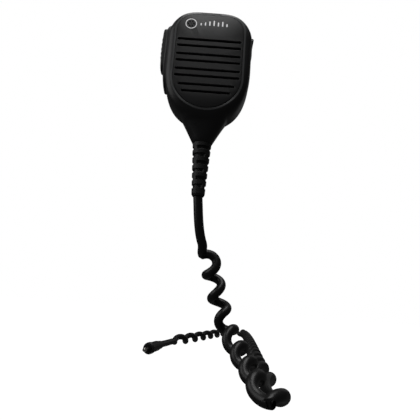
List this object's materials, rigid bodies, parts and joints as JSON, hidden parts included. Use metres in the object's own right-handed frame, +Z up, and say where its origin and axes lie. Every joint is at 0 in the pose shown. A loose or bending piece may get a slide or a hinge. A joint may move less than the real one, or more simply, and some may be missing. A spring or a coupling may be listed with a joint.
{
  "type": "hand microphone",
  "caption": "hand speaker microphone with a slotted grille, a push-to-talk bar, an ear jack under a rubber flap, a swivelling spring clip and a curly cord that ends in a single-pin plug",
  "frame": {"origin": "on the flat back face of the swivel clip's fixed jaw, which faces +Y, 11 mm below the swivel's axis and on the microphone's middle plane", "axes": "+Z up along the microphone towards its top, +Y out of its back, +X to the right as the grille is looked at"},
  "size_m": [0.1194, 0.5004, 0.2453],
  "materials": {
    "black_shell": "fine moulded grain, satin",
    "grille_plastic": "smooth satin, a little lighter than the shell",
    "soft_rubber": "dull",
    "speaker_cloth": "fine woven",
    "bright_steel": "zinc plated",
    "brass_insert": "turned",
    "cone_paper": "pressed paper",
    "magnet_metal": "plated",
    "board_green": "solder mask",
    "nickel_plate": "nickel plated",
    "black_insulator": "smooth",
    "cord_jacket": "satin jacket",
    "red_wire": "smooth",
    "white_wire": "smooth",
    "black_wire": "smooth"
  },
  "bodies": {
    "housing": {"front_shell": "black_shell", "rear_shell": "black_shell", "clip_base": "black_shell", "plug_body": "black_shell", "grille_panel": "grille_plastic", "plug_nut": "grille_plastic", "housing_gasket": "soft_rubber", "speaker_gasket": "soft_rubber", "mic_boot": "soft_rubber", "ptt_frame": "soft_rubber", "cord_boot": "soft_rubber", "plug_boot": "soft_rubber", "grille_cloth": "speaker_cloth", "housing_screw_1": "bright_steel", "housing_screw_2": "bright_steel", "housing_screw_3": "bright_steel", "housing_screw_4": "bright_steel", "clip_base_screw_1": "bright_steel", "clip_base_screw_2": "bright_steel", "jack_cover_pin": "bright_steel", "speaker_frame": "bright_steel", "cord_clamp": "bright_steel", "swivel_insert": "brass_insert", "speaker_cone": "cone_paper", "speaker_magnet": "magnet_metal", "circuit_board": "board_green", "mic_capsule": "nickel_plate", "ear_jack": "nickel_plate", "plug_sleeve": "nickel_plate", "plug_band": "nickel_plate", "plug_tip": "nickel_plate", "ptt_switch": "black_insulator", "plug_collar": "black_insulator", "plug_insulator_rear": "black_insulator", "plug_insulator_front": "black_insulator", "cord_inner": "cord_jacket", "cord_lead": "cord_jacket", "cord_curl": "cord_jacket", "cord_tail": "cord_jacket", "cord_wire_audio": "red_wire", "speaker_wire_red": "red_wire", "cord_wire_speaker": "white_wire", "cord_wire_ground": "black_wire", "speaker_wire_black": "black_wire"},
    "ptt_button": {"ptt_button": "soft_rubber"},
    "ptt_plunger": {"ptt_plunger": "nickel_plate"},
    "jack_cover": {"jack_cover": "soft_rubber"},
    "clip_body": {"clip_body": "black_shell", "clip_pin": "bright_steel", "clip_spring": "bright_steel", "swivel_screw": "bright_steel"},
    "clip_lever": {"clip_lever": "black_shell"}
  },
  "joints": [
    {"name": "ptt_press", "type": "slide", "parent": "housing", "child": "ptt_button", "axis": [1, 0, 0], "range_m": [0, 0.0015], "stiffness_N_per_m": 1500, "springref_m": -0.0004},
    {"name": "switch_travel", "type": "slide", "parent": "housing", "child": "ptt_plunger", "axis": [1, 0, 0], "range_m": [0, 0.0015]},
    {"name": "clip_swivel", "type": "hinge", "parent": "housing", "child": "clip_body", "pos_m": [0, 0, 0.011], "axis": [0, 1, 0], "continuous": true},
    {"name": "clip_open", "type": "hinge", "parent": "clip_body", "child": "clip_lever", "pos_m": [0, 0.0066, 0.0175], "axis": [1, 0, 0], "range_deg": [0, 24], "stiffness_Nm_per_rad": 0.6, "springref_deg": -20.05},
    {"name": "jack_cover_open", "type": "hinge", "parent": "housing", "child": "jack_cover", "pos_m": [0.0288, -0.0223, 0.007], "axis": [0, -1, 0], "range_deg": [0, 100]}
  ],
  "couplings": [
    {"joint": "switch_travel", "follows": "ptt_press", "ratio": 1}
  ]
}
